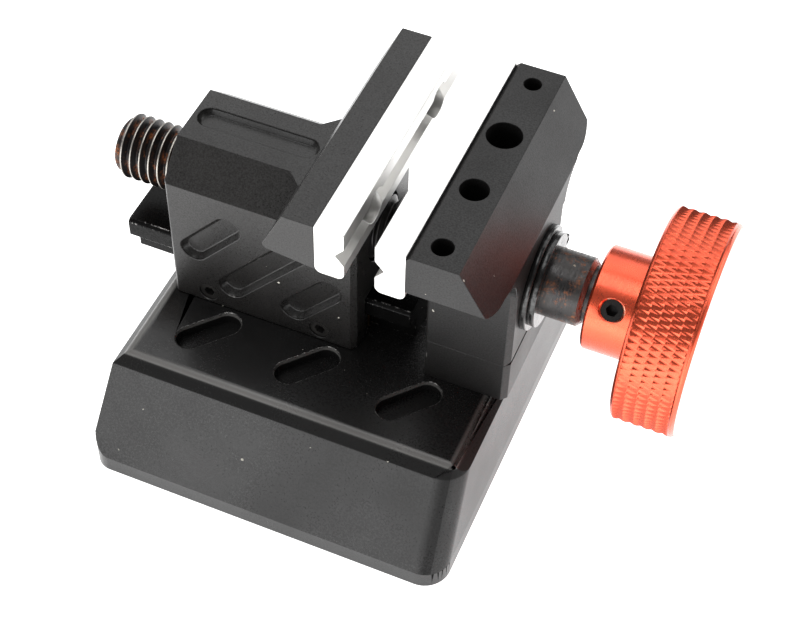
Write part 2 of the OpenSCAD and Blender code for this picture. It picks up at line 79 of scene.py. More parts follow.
class Graph:
    """Adds and wires the nodes of one node tree."""

    def __init__(self, tree: bpy.types.NodeTree) -> None:
        """Keeps the tree.

        Args:
            tree: The tree that new nodes go to.
        """
        self.tree = tree

    def add(self, kind: str, inputs: dict | None = None, **settings: object) -> bpy.types.Node:
        """Adds a node.

        Args:
            kind: The node's type name.
            inputs: Socket name or index to a value, or to the output socket that feeds it.
            settings: Properties of the node.

        Returns:
            The new node.
        """
        node = self.tree.nodes.new(kind)
        for key, value in settings.items():
            setattr(node, key, value)
        for key, value in (inputs or {}).items():
            if isinstance(value, bpy.types.NodeSocket):
                self.tree.links.new(value, node.inputs[key])
            else:
                node.inputs[key].default_value = value
        return node

    def math(self, operation: str, a: object, b: object = 0.0, clamp: bool = False) -> bpy.types.NodeSocket:
        """Adds a Math node and returns its output.

        Args:
            operation: The Math node's operation.
            a: First value or socket.
            b: Second value or socket.
            clamp: Whether the result is kept from 0 to 1.

        Returns:
            The output socket.
        """
        return self.add("ShaderNodeMath", {0: a, 1: b}, operation=operation, use_clamp=clamp).outputs[0]

    def remap(self, value: object, low: float, high: float, to_low: float = 0.0, to_high: float = 1.0):
        """Maps a range to another one, kept inside it.

        Args:
            value: The socket to map.
            low: Value that becomes to_low.
            high: Value that becomes to_high.
            to_low: Result at low.
            to_high: Result at high.

        Returns:
            The output socket.
        """
        spans = {0: value, 1: low, 2: high, 3: to_low, 4: to_high}
        return self.add("ShaderNodeMapRange", spans, clamp=True).outputs[0]

    def mix(self, factor: object, a: object, b: object) -> bpy.types.NodeSocket:
        """Mixes two colours.

        Args:
            factor: Share of b.
            a: First colour or socket.
            b: Second colour or socket.

        Returns:
            The colour output socket.
        """
        node = self.add("ShaderNodeMix", data_type="RGBA")
        colours = [s for s in node.inputs if s.type == "RGBA"]
        for socket, value in ((node.inputs[0], factor), (colours[0], a), (colours[1], b)):
            if isinstance(value, bpy.types.NodeSocket):
                self.tree.links.new(value, socket)
            else:
                socket.default_value = value
        return next(s for s in node.outputs if s.type == "RGBA")


class Effect(str, Enum):
    """The shared effects, one node group each."""

    GRAIN = "metal grain"
    DUST = "settled dust"
    WEAR = "worn edges"
    RUST = "rust bloom"


class Effects:
    """Builds the shared node groups once and places them in materials."""

    def __init__(self) -> None:
        """Builds every group."""
        self.groups = {
            Effect.GRAIN: self._grain(),
            Effect.DUST: self._dust(),
            Effect.WEAR: self._wear(),
            Effect.RUST: self._rust(),
        }

    def _new(self, name: str, inputs: dict[str, tuple[str, object]], outputs: dict[str, str]):
        """Starts a group with its sockets.

        Args:
            name: The group's name.
            inputs: Socket name to its type and default.
            outputs: Socket name to its type.

        Returns:
            The group, its graph, its input node and its output node.
        """
        group = bpy.data.node_groups.new(name, "ShaderNodeTree")
        for key, (kind, default) in inputs.items():
            socket = group.interface.new_socket(key, in_out="INPUT", socket_type=kind)
            socket.default_value = default
        for key, kind in outputs.items():
            group.interface.new_socket(key, in_out="OUTPUT", socket_type=kind)
        graph = Graph(group)
        return group, graph, graph.add("NodeGroupInput"), graph.add("NodeGroupOutput")

    def _grain(self) -> bpy.types.NodeTree:
        """Fine tool grain with cloudy patches.

        Returns:
            The group, with a fine height and a slow mottle.
        """
        group, g, given, out = self._new(
            Effect.GRAIN.value,
            {"Vector": ("NodeSocketVector", (0, 0, 0)), "Stretch": ("NodeSocketVector", (1, 1, 1)),
             "Scale": ("NodeSocketFloat", 3000.0), "Mottle Scale": ("NodeSocketFloat", 90.0)},
            {"Height": "NodeSocketFloat", "Mottle": "NodeSocketFloat"})
        drawn = g.add("ShaderNodeVectorMath", {0: given.outputs["Vector"], 1: given.outputs["Stretch"]},
                      operation="MULTIPLY").outputs[0]
        fine = g.add("ShaderNodeTexNoise", {"Vector": drawn, "Scale": given.outputs["Scale"],
                                            "Detail": 3.0, "Roughness": 0.6}).outputs[0]
        slow = g.add("ShaderNodeTexNoise", {
            "Vector": given.outputs["Vector"], "Scale": given.outputs["Mottle Scale"],
            "Detail": 4.0, "Roughness": 0.62}).outputs[0]
        group.links.new(fine, out.inputs["Height"])
        group.links.new(g.remap(slow, 0.3, 0.7), out.inputs["Mottle"])
        return group

    def _dust(self) -> bpy.types.NodeTree:
        """Sparse pale specks.

        Returns:
            The group, with a mask of the specks.
        """
        group, g, given, out = self._new(
            Effect.DUST.value,
            {"Vector": ("NodeSocketVector", (0, 0, 0)), "Scale": ("NodeSocketFloat", 420.0),
             "Size": ("NodeSocketFloat", 0.05), "Share": ("NodeSocketFloat", 0.3)},
            {"Mask": "NodeSocketFloat"})
        warp = g.add("ShaderNodeTexNoise", {
            "Vector": given.outputs["Vector"], "Scale": 2600.0, "Detail": 1.0})
        push = g.add("ShaderNodeVectorMath", {0: warp.outputs["Color"], 1: (0.00035, 0.00035, 0.00035)},
                     operation="MULTIPLY").outputs[0]
        placed = g.add("ShaderNodeVectorMath", {0: given.outputs["Vector"], 1: push},
                       operation="ADD").outputs[0]
        cells = g.add("ShaderNodeTexVoronoi", {"Vector": placed, "Scale": given.outputs["Scale"]})
        parts = g.add("ShaderNodeSeparateColor", {0: cells.outputs["Color"]})
        chosen = g.math("LESS_THAN", parts.outputs[0], given.outputs["Share"])
        radius = g.math("MULTIPLY", given.outputs["Size"], g.math("ADD", parts.outputs[1], 0.35))
        near = g.math("LESS_THAN", cells.outputs["Distance"], radius)
        group.links.new(g.math("MULTIPLY", chosen, near), out.inputs["Mask"])
        return group

    def _wear(self) -> bpy.types.NodeTree:
        """Paint or oxide rubbed off the edges in patches.

        Returns:
            The group, with a mask of the bare metal.
        """
        group, g, given, out = self._new(
            Effect.WEAR.value,
            {"Vector": ("NodeSocketVector", (0, 0, 0)), "Edge": ("NodeSocketFloat", 0.0),
             "Amount": ("NodeSocketFloat", 0.4), "Scale": ("NodeSocketFloat", 260.0)},
            {"Mask": "NodeSocketFloat"})
        patch = g.add("ShaderNodeTexNoise", {
            "Vector": given.outputs["Vector"], "Scale": given.outputs["Scale"],
            "Detail": 5.0, "Roughness": 0.7}).outputs[0]
        limit = g.math("SUBTRACT", 0.78, g.math("MULTIPLY", given.outputs["Amount"], 0.5))
        bare = g.math("MULTIPLY", g.math("SUBTRACT", patch, limit), 9.0, clamp=True)
        group.links.new(g.math("MULTIPLY", bare, given.outputs["Edge"]), out.inputs["Mask"])
        return group

    def _rust(self) -> bpy.types.NodeTree:
        """Brown and orange bloom in patches.

        Returns:
            The group, with a mask and the rust's colour.
        """
        group, g, given, out = self._new(
            Effect.RUST.value,
            {"Vector": ("NodeSocketVector", (0, 0, 0)), "Where": ("NodeSocketFloat", 0.0),
             "Amount": ("NodeSocketFloat", 0.5)},
            {"Mask": "NodeSocketFloat", "Color": "NodeSocketColor"})
        bloom = g.add("ShaderNodeTexNoise", {"Vector": given.outputs["Vector"], "Scale": 420.0,
                                             "Detail": 6.0, "Roughness": 0.75}).outputs[0]
        fleck = g.add("ShaderNodeTexNoise", {"Vector": given.outputs["Vector"], "Scale": 2400.0,
                                             "Detail": 2.0}).outputs[0]
        limit = g.math("SUBTRACT", 0.8, g.math("MULTIPLY", given.outputs["Amount"], 0.5))
        patch = g.math("MULTIPLY", g.math("SUBTRACT", bloom, limit), 7.0, clamp=True)
        group.links.new(g.math("MULTIPLY", patch, given.outputs["Where"]), out.inputs["Mask"])
        colour = g.mix(g.remap(fleck, 0.42, 0.62), (0.055, 0.016, 0.006, 1), (0.34, 0.10, 0.018, 1))
        group.links.new(colour, out.inputs["Color"])
        return group

    def place(self, graph: Graph, effect: Effect, inputs: dict) -> bpy.types.Node:
        """Places a group in a material.

        Args:
            graph: The material's graph.
            effect: Which effect.
            inputs: Socket name to a value or socket.

        Returns:
            The group node.
        """
        node = graph.add("ShaderNodeGroup", node_tree=self.groups[effect])
        for key, value in inputs.items():
            if isinstance(value, bpy.types.NodeSocket):
                graph.tree.links.new(value, node.inputs[key])
            else:
                node.inputs[key].default_value = value
        return node


# ---- Finishes ----

Colour = tuple[float, float, float, float]


@dataclass(frozen=True)
class Finish:
    """One metal finish, from its colours to its grain, dust and wear, with any painted highlight and shade
    bands.
    """

    name: str
    colour: Colour
    cloud: Colour
    metallic: float
    roughness: float
    roughness_spread: float = 0.08
    coat: float = 0.0
    coat_roughness: float = 0.1
    specular: float = 0.5
    grain_scale: float = 3000.0
    grain_depth: float = 0.15
    sparkle: float = 0.0
    fleck: float = 0.0
    gloss_spread: float = 0.0
    stretch: tuple[float, float, float] = (1.0, 1.0, 1.0)
    mottle_scale: float = 90.0
    mottle_share: float = 0.6
    dust_share: float = 0.0
    dust_size: float = 0.05
    dust_colour: Colour = (0.5, 0.48, 0.42, 1)
    wear: float = 0.0
    wear_scale: float = 260.0
    bare: Colour = (0.35, 0.34, 0.33, 1)
    axis_height: float = 0.0
    rust: float = 0.0
    rust_reach: tuple[float, float] = (0.0, 0.0)
    # Thread crests turned lighter: partly crest wear, partly a painted highlight line.
    crest_wear_and_glint: tuple[float, float] = (0.0, 0.0)
    # Span along X past which the thread is left plain dark, as painted shade over the jaw gap.
    gap_shade_from: tuple[float, float] = (-1.0, -0.99)
    # Painted highlight: a lighter colour band over a span of heights, standing in for light on a rounded rim.
    highlight_stripe: Colour = (0.0, 0.0, 0.0, 0)
    highlight_stripe_at: tuple[float, float] = (0.0, 0.0)
    # Painted shade: a span of heights whose gloss is lowered, standing in for a dark reflection band.
    dark_reflection_at: tuple[float, float] = (0.0, 0.0)

    def _away_from_axis(self, g: Graph, place: bpy.types.NodeSocket) -> bpy.types.NodeSocket:
        """Distance of each point from the lead screw's axis.

        Args:
            g: The material's graph.
            place: Object coordinates.

        Returns:
            The distance, in metres.
        """
        flat = g.add("ShaderNodeVectorMath", {0: place, 1: (0, 1, 1)}, operation="MULTIPLY").outputs[0]
        centre = g.add("ShaderNodeVectorMath", {0: flat, 1: (0, 0, self.axis_height)}, operation="SUBTRACT")
        return g.add("ShaderNodeVectorMath", {0: centre.outputs[0]}, operation="LENGTH").outputs["Value"]

    def _band(self, g: Graph, place: bpy.types.NodeSocket, span: tuple[float, float], fade_in: float,
              fade_out: float) -> bpy.types.NodeSocket:
        """Mask of a band of heights with soft edges.

        Args:
            g: The material's graph.
            place: Object coordinates.
            span: Its lowest and highest height, in metres.
            fade_in: Width of its lower soft edge.
            fade_out: Width of its upper soft edge.

        Returns:
            The mask.
        """
        height = g.add("ShaderNodeSeparateXYZ", {0: place}).outputs[2]
        return g.math("MULTIPLY", g.remap(height, span[0], span[0] + fade_in),
                      g.remap(height, span[1] - fade_out, span[1], 1.0, 0.0))

    def build(self, effects: Effects) -> bpy.types.Material:
        """Makes the material.

        Args:
            effects: The shared node groups.

        Returns:
            The material.
        """
        material = bpy.data.materials.new(self.name)
        material.use_nodes = True
        g = Graph(material.node_tree)
        shader = next(n for n in material.node_tree.nodes if n.type == "BSDF_PRINCIPLED")
        place = g.add("ShaderNodeTexCoord").outputs["Object"]
        edge = g.add("ShaderNodeAttribute", attribute_name="edge").outputs["Fac"]
        grain = effects.place(g, Effect.GRAIN, {
            "Vector": place, "Stretch": self.stretch, "Scale": self.grain_scale,
            "Mottle Scale": self.mottle_scale})
        mottle = g.math("MULTIPLY", grain.outputs["Mottle"], self.mottle_share)
        colour = g.mix(mottle, self.colour, self.cloud)
        rough = g.remap(grain.outputs["Mottle"], 0.0, 1.0, self.roughness,
                        self.roughness + self.roughness_spread)
        rough = g.math("ADD", rough, g.math("MULTIPLY", g.math("SUBTRACT", grain.outputs["Height"], 0.5),
                                            self.sparkle))
        metal: object = self.metallic
        # Painted shade: towards +X from this span the thread, through the moving jaw and across the jaw gap,
        # keeps no crest highlight and no rust and stays plain dark steel.
        along_x = g.add("ShaderNodeSeparateXYZ", {0: place}).outputs[0]
        gap_shade = g.remap(along_x, self.gap_shade_from[0], self.gap_shade_from[1])
        outside_gap_shade = g.math("SUBTRACT", 1.0, gap_shade) if self.gap_shade_from[0] > -1.0 else 1.0
        # Crests far from the axis get the lighter bare colour: partly wear, partly a painted highlight line.
        if self.crest_wear_and_glint[1]:
            away = self._away_from_axis(g, place)
            top = g.math("MULTIPLY", g.remap(away, self.crest_wear_and_glint[0], self.crest_wear_and_glint[1]), outside_gap_shade)
            colour = g.mix(top, colour, self.bare)
        if self.wear:
            worn = effects.place(g, Effect.WEAR, {
                "Vector": place, "Edge": edge, "Amount": self.wear, "Scale": self.wear_scale}).outputs[0]
            colour = g.mix(worn, colour, self.bare)
            metal = g.math("MAXIMUM", worn, self.metallic)
        # Painted highlight: the band of heights is mixed towards the lighter stripe colour.
        if self.highlight_stripe[3]:
            band = self._band(g, place, self.highlight_stripe_at, 0.15 * MM, 0.1 * MM)
            band = g.math("MULTIPLY", band, g.remap(grain.outputs["Mottle"], 0.0, 1.0, 1.0, 0.6))
            colour = g.mix(band, colour, self.highlight_stripe)
        if self.rust:
            away = self._away_from_axis(g, place)
            inside = g.remap(away, self.rust_reach[0], self.rust_reach[1], 1.0, 0.0)
            # Rust too stays off the thread in the jaw gap, which is left dark as painted shade.
            where = g.math("MULTIPLY", inside, outside_gap_shade)
            bloom = effects.place(g, Effect.RUST, {"Vector": place, "Where": where, "Amount": self.rust})
            colour = g.mix(bloom.outputs["Mask"], colour, bloom.outputs["Color"])
            rough = g.math("MAXIMUM", rough, g.math("MULTIPLY", bloom.outputs["Mask"], 0.85))
            metal = g.math("MULTIPLY", metal, g.math("SUBTRACT", 1.0, bloom.outputs["Mask"]))
        if self.dust_share:
            speck = effects.place(g, Effect.DUST, {
                "Vector": place, "Share": self.dust_share, "Size": self.dust_size}).outputs[0]
            colour = g.mix(speck, colour, self.dust_colour)
            rough = g.math("MAXIMUM", rough, g.math("MULTIPLY", speck, 0.8))
        links = material.node_tree.links
        links.new(colour, shader.inputs["Base Color"])
        links.new(rough, shader.inputs["Roughness"])
        if isinstance(metal, bpy.types.NodeSocket):
            links.new(metal, shader.inputs["Metallic"])
        else:
            shader.inputs["Metallic"].default_value = metal
        bump = g.add("ShaderNodeBump", {"Height": grain.outputs["Height"], "Strength": self.grain_depth,
                                        "Distance": 0.00003})
        links.new(bump.outputs["Normal"], shader.inputs["Normal"])
        shader.inputs["Coat Weight"].default_value = self.coat
        shader.inputs["Coat Roughness"].default_value = self.coat_roughness
        gloss = g.math("MULTIPLY", g.remap(grain.outputs["Mottle"], 0.0, 1.0, self.specular,
                                           self.specular * (1.0 - self.gloss_spread)),
                       g.remap(grain.outputs["Height"], 0.35, 0.65, 1.0 - self.fleck, 1.0 + self.fleck))
        # Painted shade: gloss is cut in this band of heights so that it reads as a dark reflection band.
        if self.dark_reflection_at[1]:
            under = self._band(g, place, self.dark_reflection_at, 0.2 * MM, 0.2 * MM)
            gloss = g.math("MULTIPLY", gloss, g.math("SUBTRACT", 1.0, g.math("MULTIPLY", under, 0.75)))
        links.new(gloss, shader.inputs["Specular IOR Level"])
        return material


AXIS_Z = 34.4 * MM
BLACK_MILLED = Finish(
    "black milled anodising", (0.012, 0.0114, 0.011, 1), (0.022, 0.0205, 0.0195, 1), 0.0, 0.28, 0.08,
    grain_scale=4200.0, grain_depth=0.6, sparkle=0.3, fleck=0.3, gloss_spread=0.15, mottle_scale=70.0,
    dust_share=0.2, dust_size=0.055, wear=0.3)
BLACK_DEEP = Finish(
    "deep black anodising", (0.009, 0.0086, 0.0085, 1), (0.016, 0.015, 0.0146, 1), 0.0, 0.36, 0.1,
    specular=0.42, grain_scale=4200.0, grain_depth=0.6, sparkle=0.3,
    fleck=0.3, gloss_spread=0.2, mottle_scale=70.0,
    dust_share=0.2, dust_size=0.055, wear=0.3)
# The stripe paints the light on the top rim rounding as a lighter band: a painted highlight.
BLACK_BASE = Finish(
    "black base coat", (0.011, 0.0108, 0.0108, 1), (0.02, 0.0194, 0.0192, 1), 0.0, 0.2, 0.12, specular=0.6,
    grain_scale=3400.0, grain_depth=0.3, sparkle=0.12, fleck=0.16, gloss_spread=0.4, mottle_scale=26.0,
    dust_share=0.2, dust_size=0.06, wear=0.62, wear_scale=1700.0, highlight_stripe=(0.2, 0.195, 0.187, 1),
    # The band below the stripe has lowered gloss: a painted dark reflection band.
    highlight_stripe_at=(16.5 * MM, 17.18 * MM), dark_reflection_at=(15.1 * MM, 16.55 * MM))
BLACK_RAIL = Finish(
    "black ground rail", (0.003, 0.003, 0.003, 1), (0.006, 0.0058, 0.0056, 1), 0.0, 0.18, 0.12,
    specular=0.12, grain_scale=3400.0, grain_depth=0.5, fleck=0.3,
    mottle_scale=60.0, dust_share=0.2, dust_size=0.055,
    wear=0.5, wear_scale=900.0)
BRIGHT_GROUND = Finish(
    "bright ground plate", (0.93, 0.925, 0.91, 1), (0.88, 0.87, 0.845, 1), 1.0, 0.33, 0.1,
    grain_scale=1100.0, grain_depth=0.2, sparkle=0.15, stretch=(4.0, 0.06, 4.0), mottle_scale=140.0)
THREAD_STEEL = Finish(
    "oiled thread steel", (0.026, 0.025, 0.026, 1), (0.05, 0.047, 0.045, 1), 0.75, 0.3, 0.14,
    grain_scale=2400.0, grain_depth=0.4, mottle_scale=300.0, bare=(0.5, 0.47, 0.43, 1),
    # The crest band paints the thread's light edge lines, partly wear and partly highlight.
    axis_height=AXIS_Z, rust=0.66, rust_reach=(4.2 * MM, 4.6 * MM), crest_wear_and_glint=(4.8 * MM, 4.85 * MM),
    # Past this span the thread in the jaw gap stays plain dark: painted shade.
    gap_shade_from=(-25.5 * MM, -23.5 * MM))
SHANK_STEEL = Finish(
    "oiled shank steel", (0.035, 0.034, 0.036, 1), (0.085, 0.08, 0.074, 1), 0.75, 0.26, 0.2,
    grain_scale=1500.0, grain_depth=0.7, sparkle=0.8, stretch=(3.0, 0.6, 0.6), mottle_scale=330.0,
    dust_share=0.8, dust_size=0.13, dust_colour=(0.5, 0.45, 0.38, 1), wear=0.95, wear_scale=600.0,
    axis_height=AXIS_Z, rust=0.54, rust_reach=(5.5 * MM, 6.0 * MM))
OILY_BLACK = Finish(
    "oily black spring steel", (0.006, 0.006, 0.006, 1), (0.014, 0.013, 0.012, 1), 0.0, 0.14, 0.14,
    coat=0.3, coat_roughness=0.06, grain_scale=1300.0, grain_depth=0.8, fleck=0.6, mottle_scale=420.0, wear=0.3,
    wear_scale=800.0)
SCREW_STEEL = Finish(
    "blackened screw steel", (0.03, 0.029, 0.028, 1), (0.08, 0.075, 0.07, 1), 0.6, 0.32, 0.14,
    grain_scale=2600.0, grain_depth=0.4, mottle_scale=500.0, wear=0.6, bare=(0.4, 0.38, 0.35, 1))
PLATE_SCREW = Finish(
    "grey plate screw", (0.1, 0.098, 0.095, 1), (0.2, 0.195, 0.19, 1), 0.9, 0.3, 0.2,
    grain_scale=2800.0, grain_depth=0.9, sparkle=0.8, mottle_scale=900.0)
BLACK_SCREW = Finish(
    "black oxide set screw", (0.005, 0.0045, 0.004, 1), (0.011, 0.009, 0.008, 1), 0.0, 0.3, 0.1,
    specular=0.25, grain_scale=2600.0, grain_depth=0.3, mottle_scale=500.0)
BRONZE = Finish(
    "turned bearing bronze", (0.45, 0.27, 0.11, 1), (0.33, 0.19, 0.08, 1), 1.0, 0.3, 0.15,
    grain_scale=1800.0, grain_depth=0.4, stretch=(4.0, 0.5, 0.5), mottle_scale=300.0)
RED_ANODISED = Finish(
    "red anodised aluminium", (0.9, 0.125, 0.055, 1), (0.82, 0.1, 0.045, 1), 0.95, 0.25, 0.08, coat=0.4,
    coat_roughness=0.16, grain_scale=2600.0, grain_depth=0.4, sparkle=0.25, stretch=(2.0, 0.8, 0.8),
    mottle_scale=240.0, wear=0.62, wear_scale=700.0, bare=(0.98, 0.6, 0.42, 1))

# Painted highlight: a lighter, pinker copy of the red anodising, standing in for light on the knob's end face.
RED_LIT_FACE = Finish(
    "red lit end face", (0.9, 0.3, 0.2, 1), (0.86, 0.26, 0.17, 1), 0.5, 0.2, 0.06,
    coat=1.0, coat_roughness=0.3, grain_scale=900.0, grain_depth=0.2, stretch=(0.4, 1.0, 1.0),
    mottle_scale=60.0)


# ---- Making and finishing meshes ----


class Workshop:
    """Turns meshes into finished pieces and keeps the materials."""

    def __init__(self, effects: Effects) -> None:
        """Starts with no material built.

        Args:
            effects: The shared node groups.
        """
        self.effects = effects
        self.built: dict[str, bpy.types.Material] = {}

    def material(self, finish: Finish) -> bpy.types.Material:
        """The finish's material, built on first use."""
        if finish.name not in self.built:
            self.built[finish.name] = finish.build(self.effects)
        return self.built[finish.name]

    def copy_of(self, node: str) -> bmesh.types.BMesh:
        """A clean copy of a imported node's mesh.

        Args:
            node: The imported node's name.

        Returns:
            The copy, its doubles merged and its flat faces joined.
        """
        bm = bmesh.new()
        bm.from_mesh(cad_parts[node].data)
        bmesh.ops.remove_doubles(bm, verts=bm.verts, dist=MERGE)
        bmesh.ops.dissolve_limit(bm, angle_limit=FLAT_MERGE, verts=bm.verts, edges=bm.edges)
        bm.normal_update()
        return bm

    def break_edges(self, bm: bmesh.types.BMesh, width: float, least: float = 28.0,
                    only: object = None, segments: int = 2, mark: bool = True) -> None:
        """Rounds the sharp edges and marks the rounding for wear.

        Args:
            bm: The mesh.
            width: Width of the rounding, in metres.
            least: Edges that turn by less than this many degrees stay.
            only: A test that an edge has to pass, or None.
            segments: Steps across the rounding.
            mark: Whether the new faces may wear.
        """
        worn = bm.faces.layers.float.get("edge") or bm.faces.layers.float.new("edge")
        sharp = [e for e in bm.edges if e.is_manifold and e.calc_face_angle(0.0) > math.radians(least)
                 and (only is None or only(e))]
        made = bmesh.ops.bevel(bm, geom=sharp, offset=width, offset_type="OFFSET", affect="EDGES",
                               segments=segments, profile=0.5, clamp_overlap=False, material=-1,
                               loop_slide=True)
        for face in made["faces"]:
            face[worn] = 1.0 if mark else 0.0
        bm.normal_update()

    def finish(self, bm: bmesh.types.BMesh, name: str, body: Body, slot: Slot, finish: Finish,
               replaces: tuple[str, ...] = (), smooth: float = 38.0) -> bpy.types.Object:
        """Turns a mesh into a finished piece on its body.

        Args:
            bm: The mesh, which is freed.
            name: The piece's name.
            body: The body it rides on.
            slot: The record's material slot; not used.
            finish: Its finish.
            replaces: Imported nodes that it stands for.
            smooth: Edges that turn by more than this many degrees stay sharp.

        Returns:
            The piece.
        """
        mesh = bpy.data.meshes.new(name)
        bm.to_mesh(mesh)
        bm.free()
        mesh.shade_smooth()
        mesh.set_sharp_from_angle(angle=math.radians(smooth))
        mesh.materials.append(self.material(finish))
        piece = bpy.data.objects.new(name, mesh)
        bpy.context.scene.collection.objects.link(piece)
        piece.modifiers.new("even shading", "WEIGHTED_NORMAL").keep_sharp = True
        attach(piece, body.value)
        if replaces:
            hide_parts(*replaces)
        LOG.info("%s: %d faces", name, len(mesh.polygons))
        return piece

    def dress(self, node: str, finish: Finish) -> None:
        """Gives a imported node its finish."""
        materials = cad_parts[node].data.materials
        materials.clear()
        materials.append(self.material(finish))
        LOG.info("%s: dressed", node)


# ---- The base, the rail and the fixed jaw ----


@dataclass
class BaseAssembly:
    """The heavy base with its rail, riser and fixed jaw."""

    shop: Workshop
    rim_round: float = 0.85 * MM
    edge_round: float = 0.18 * MM
    part_edge: float = 0.12 * MM
    jaw_edge: float = 0.1 * MM
    chamfer_slopes: tuple[float, float] = (0.55, 0.85)
    # Slope range of rim faces given the bare colour: partly edge wear, partly a painted highlight line.
    wear_and_glint_slopes: tuple[float, float] = (0.5, 0.66)
    base_smooth: float = 12.0

    def base(self) -> bpy.types.Object:
        """The base block, its top rim softly rounded.

        Returns:
            The piece.
        """
        bm = self.shop.copy_of("base_block")
        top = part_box("base_block")[1].z

        def on_rim(edge: bmesh.types.BMEdge) -> bool:
            """Whether an edge runs round the top face."""
            return all(v.co.z > top - NEAR for v in edge.verts) and any(
                self.chamfer_slopes[0] < f.normal.z < self.chamfer_slopes[1] for f in edge.link_faces)

        def on_pocket(edge: bmesh.types.BMEdge) -> bool:
            """Whether an edge runs round a pocket."""
            return all(v.co.z > top - NEAR for v in edge.verts)

        self.shop.break_edges(bm, self.edge_round, least=60.0, only=on_pocket)
        self.shop.break_edges(bm, self.rim_round, least=20.0, only=on_rim, segments=5, mark=False)
        # Rim-rounding faces in one slope range get the bare-metal colour: partly edge wear, partly a painted
        # highlight line along the rim.
        worn = bm.faces.layers.float["edge"]
        low_slope, high_slope = self.wear_and_glint_slopes
        for face in bm.faces:
            on_round = face.calc_center_median().z > top - self.rim_round
            if on_round and low_slope < face.normal.z < high_slope:
                face[worn] = 1.0
        return self.shop.finish(bm, "base", Body.BASE, Slot.BLACK, BLACK_BASE, ("base_block",),
                                smooth=self.base_smooth)

    def rail(self) -> bpy.types.Object:
        """The T-rail."""
        bm = self.shop.copy_of("guide_rail")
        self.shop.break_edges(bm, self.part_edge)
        return self.shop.finish(bm, "rail", Body.BASE, Slot.BLACK, BLACK_RAIL, ("guide_rail",))

    def riser(self) -> bpy.types.Object:
        """The riser under the fixed jaw."""
        bm = self.shop.copy_of("riser_block")
        self.shop.break_edges(bm, self.part_edge)
        return self.shop.finish(bm, "riser", Body.BASE, Slot.BLACK, BLACK_DEEP, ("riser_block",))

    def jaw(self) -> bpy.types.Object:
        """The fixed jaw."""
        bm = self.shop.copy_of("fixed_jaw")
        self.shop.break_edges(bm, self.jaw_edge)
        return self.shop.finish(bm, "jaw_fixed", Body.BASE, Slot.BLACK, BLACK_DEEP, ("fixed_jaw",))

    def plate(self) -> bpy.types.Object:
        """The fixed jaw's plate."""
        bm = self.shop.copy_of("fixed_jaw_plate")
        self.shop.break_edges(bm, self.jaw_edge)
        return self.shop.finish(
            bm, "plate_fixed", Body.BASE, Slot.BRIGHT, BRIGHT_GROUND, ("fixed_jaw_plate",))

    def build(self) -> None:
        """Builds and dresses the whole sub-assembly."""
        self.base()
        self.rail()
        self.riser()
        self.jaw()
        self.plate()
        for node in ("rail_screws", "locating_dowels", "jaw_bolts"):
            self.shop.dress(node, SCREW_STEEL)
        self.shop.dress("fixed_plate_screws", PLATE_SCREW)
        self.shop.dress("screw_bush", BRONZE)


# ---- The moving jaw ----


@dataclass
class MovingJawAssembly:
    """The jaw that slides on the rail, with its plate, gib and nut."""

    shop: Workshop
    edge_round: float = 0.12 * MM
    plate_edge: float = 0.1 * MM
    side_floor: float = 8.85 * MM
    side_lip: float = 9.85 * MM
    side_run: float = 0.62 * MM
    top_floor: float = 44.3 * MM
    top_lip: float = 45.1 * MM
    top_run: float = 0.5 * MM

    def _slope_slot(self, bm: bmesh.types.BMesh, axis: int, floor: float, lip: float, run: float) -> None:
        """Slopes the walls of the slots whose floors lie at one depth.

        Args:
            bm: The jaw.
            axis: The axis that the slots are cut along.
            floor: Depth of their floors along it, on either side.
            lip: Where the sloping part of the walls starts.
            run: How far the walls lean in.
        """
        floors = [f for f in bm.faces if all(abs(abs(v.co[axis]) - floor) < CLOSE for v in f.verts)]
        lips = {v for f in floors for v in f.verts}
        bmesh.ops.inset_individual(bm, faces=floors, thickness=run, use_even_offset=True)
        for v in lips:
            v.co[axis] = math.copysign(lip, v.co[axis])
        bm.normal_update()

    def jaw(self) -> bpy.types.Object:
        """The moving jaw, the walls of its slots sloping."""
        bm = self.shop.copy_of("moving_jaw")
        self._slope_slot(bm, 1, self.side_floor, self.side_lip, self.side_run)
        self._slope_slot(bm, 2, self.top_floor, self.top_lip, self.top_run)
        self.shop.break_edges(bm, self.edge_round)
        return self.shop.finish(
            bm, "jaw_moving", Body.MOVING_JAW, Slot.BLACK, BLACK_MILLED, ("moving_jaw",))

    def plate(self) -> bpy.types.Object:
        """The moving jaw's plate."""
        bm = self.shop.copy_of("moving_jaw_plate")
        self.shop.break_edges(bm, self.plate_edge)
        return self.shop.finish(
            bm, "plate_moving", Body.MOVING_JAW, Slot.BRIGHT, BRIGHT_GROUND, ("moving_jaw_plate",))

    def build(self) -> None:
        """Builds and dresses the whole sub-assembly."""
        self.jaw()
        self.plate()
        self.shop.dress("moving_plate_screws", PLATE_SCREW)
        self.shop.dress("gib_screws", SCREW_STEEL)
        for node in ("gib_strip", "lead_nut"):
            self.shop.dress(node, BRONZE)


# ---- The lead screw and the knob ----


